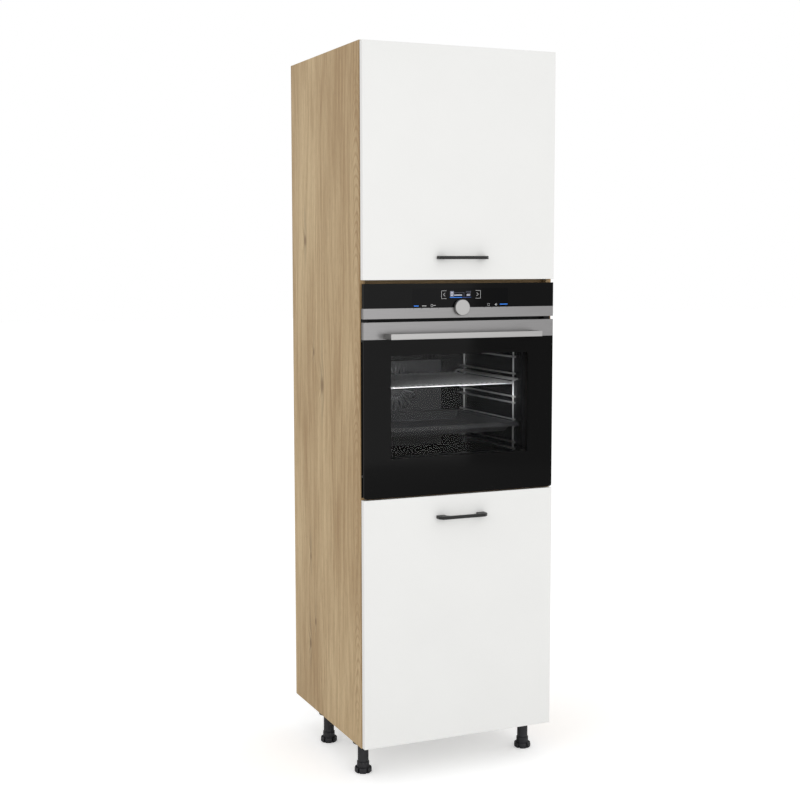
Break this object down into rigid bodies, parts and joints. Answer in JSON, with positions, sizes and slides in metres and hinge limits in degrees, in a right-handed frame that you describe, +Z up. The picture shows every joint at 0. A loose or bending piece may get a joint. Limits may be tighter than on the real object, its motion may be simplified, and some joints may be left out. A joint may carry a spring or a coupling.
{
  "type": "tall oven housing unit",
  "caption": "Tall kitchen cabinet on adjustable legs with lift-up upper front, built-in oven with drop-down door and hinged lower front.",
  "frame": {"origin": "on the floor under the centre of the unit's outline, handles included", "axes": "+Z up, the fronts face -Y, +X to the right as one looks at the fronts"},
  "size_m": [0.6, 0.629, 2.07],
  "materials": {
    "oak_board": "satin oak decor",
    "white_board": "white melamine",
    "back_board": "white hardboard",
    "white_front": "satin white foil",
    "black_plastic": "moulded black",
    "black_metal": "powder-coated black",
    "hinge_steel": "nickel plated",
    "zinc_fittings": "die-cast zinc",
    "strut_tube": "grey paint",
    "soft_pad": "clear soft pad",
    "oven_steel": "brushed",
    "handle_steel": "brushed",
    "black_glass": "black-backed glass",
    "clear_glass": "tinted glass",
    "enamel": "grey-black enamel",
    "galvanised": "galvanised sheet",
    "wire_chrome": "chromed wire",
    "heater": "oxidised steel",
    "board_green": "circuit board",
    "lamp_glass": "frosted glass",
    "door_rubber": "silicone seal"
  },
  "bodies": {
    "housing": {"left_side_panel": "oak_board", "right_side_panel": "oak_board", "top_panel": "white_board", "bottom_panel": "white_board", "oven_shelf": "white_board", "niche_top_shelf": "white_board", "cam_fittings": "zinc_fittings", "upper_back_panel": "back_board", "lower_back_panel": "back_board", "wall_rail": "white_board", "upper_loose_shelf": "white_board", "lower_loose_shelf": "white_board", "shelf_pins": "zinc_fittings", "leg_sockets": "black_plastic", "flap_hinge_arms": "hinge_steel", "strut_side_brackets": "hinge_steel", "door_hinge_arms": "hinge_steel", "oven_front_frame": "enamel", "oven_casing": "galvanised", "oven_cavity": "enamel", "door_seal": "door_rubber", "fan_cover": "enamel", "fan_motor": "galvanised", "grill_element": "heater", "ring_element": "heater", "side_racks": "wire_chrome", "wire_shelf": "wire_chrome", "baking_tray": "enamel", "oven_lamp": "lamp_glass", "mains_inlet": "black_plastic", "oven_fixing_screws": "zinc_fittings", "control_fascia": "black_glass", "control_trim": "oven_steel", "control_housing": "galvanised", "control_board": "board_green", "oven_hinge_arms": "galvanised"},
    "flap": {"flap_panel": "white_front", "flap_handle": "black_metal", "flap_hinge_cups": "hinge_steel", "flap_bumpers": "soft_pad", "flap_strut_brackets": "hinge_steel"},
    "strut_cylinder_left": {"strut_cylinder_left": "strut_tube"},
    "strut_rod_left": {"strut_rod_left": "wire_chrome"},
    "strut_cylinder_right": {"strut_cylinder_right": "strut_tube"},
    "strut_rod_right": {"strut_rod_right": "wire_chrome"},
    "door": {"door_panel": "white_front", "door_handle": "black_metal", "door_hinge_cups": "hinge_steel", "door_bumpers": "soft_pad"},
    "oven_door": {"oven_door_glass": "clear_glass", "oven_door_strip": "oven_steel", "oven_door_handle": "handle_steel", "oven_door_frame": "enamel", "oven_door_inner_glass": "clear_glass"},
    "knob": {"control_knob": "handle_steel"},
    "fan": {"convection_fan": "galvanised"},
    "foot_front_left": {"foot_front_left": "black_plastic"},
    "foot_front_right": {"foot_front_right": "black_plastic"},
    "foot_rear_left": {"foot_rear_left": "black_plastic"},
    "foot_rear_right": {"foot_rear_right": "black_plastic"}
  },
  "joints": [
    {"name": "flap_lift", "type": "hinge", "parent": "housing", "child": "flap", "pos_m": [0, -0.2595, 2.062], "axis": [-1, 0, 0], "range_deg": [0, 90]},
    {"name": "door_swing", "type": "hinge", "parent": "housing", "child": "door", "pos_m": [0.292, -0.2595, 0.4575], "axis": [0, 0, 1], "range_deg": [0, 95]},
    {"name": "oven_door_drop", "type": "hinge", "parent": "housing", "child": "oven_door", "pos_m": [0, -0.2575, 0.8243], "axis": [1, 0, 0], "range_deg": [0, 90]},
    {"name": "knob_turn", "type": "hinge", "parent": "housing", "child": "knob", "pos_m": [0, -0.2655, 1.346], "axis": [0, -1, 0], "continuous": true},
    {"name": "fan_spin", "type": "hinge", "parent": "housing", "child": "fan", "pos_m": [0, 0.225, 1.077], "axis": [0, 1, 0], "continuous": true},
    {"name": "strut_swing_left", "type": "hinge", "parent": "housing", "child": "strut_cylinder_left", "pos_m": [-0.27, -0.2212, 2.04], "axis": [-1, 0, 0], "range_deg": [0, 84.38]},
    {"name": "strut_slide_left", "type": "slide", "parent": "strut_cylinder_left", "child": "strut_rod_left", "axis": [0, -0.072, -0.9974], "range_m": [0, 0.06]},
    {"name": "strut_swing_right", "type": "hinge", "parent": "housing", "child": "strut_cylinder_right", "pos_m": [0.27, -0.2212, 2.04], "axis": [-1, 0, 0], "range_deg": [0, 84.38]},
    {"name": "strut_slide_right", "type": "slide", "parent": "strut_cylinder_right", "child": "strut_rod_right", "axis": [0, -0.072, -0.9974], "range_m": [0, 0.06]},
    {"name": "foot_screw_front_left", "type": "slide", "parent": "housing", "child": "foot_front_left", "axis": [0, 0, -1], "range_m": [0, 0.05]},
    {"name": "foot_screw_front_right", "type": "slide", "parent": "housing", "child": "foot_front_right", "axis": [0, 0, -1], "range_m": [0, 0.05]},
    {"name": "foot_screw_rear_left", "type": "slide", "parent": "housing", "child": "foot_rear_left", "axis": [0, 0, -1], "range_m": [0, 0.05]},
    {"name": "foot_screw_rear_right", "type": "slide", "parent": "housing", "child": "foot_rear_right", "axis": [0, 0, -1], "range_m": [0, 0.05]}
  ],
  "couplings": [
    {"joint": "strut_swing_left", "follows": "flap_lift", "ratio": 0.93744},
    {"joint": "strut_slide_left", "follows": "flap_lift", "m_per_rad": 0.038186},
    {"joint": "strut_swing_right", "follows": "flap_lift", "ratio": 0.93744},
    {"joint": "strut_slide_right", "follows": "flap_lift", "m_per_rad": 0.038186}
  ]
}
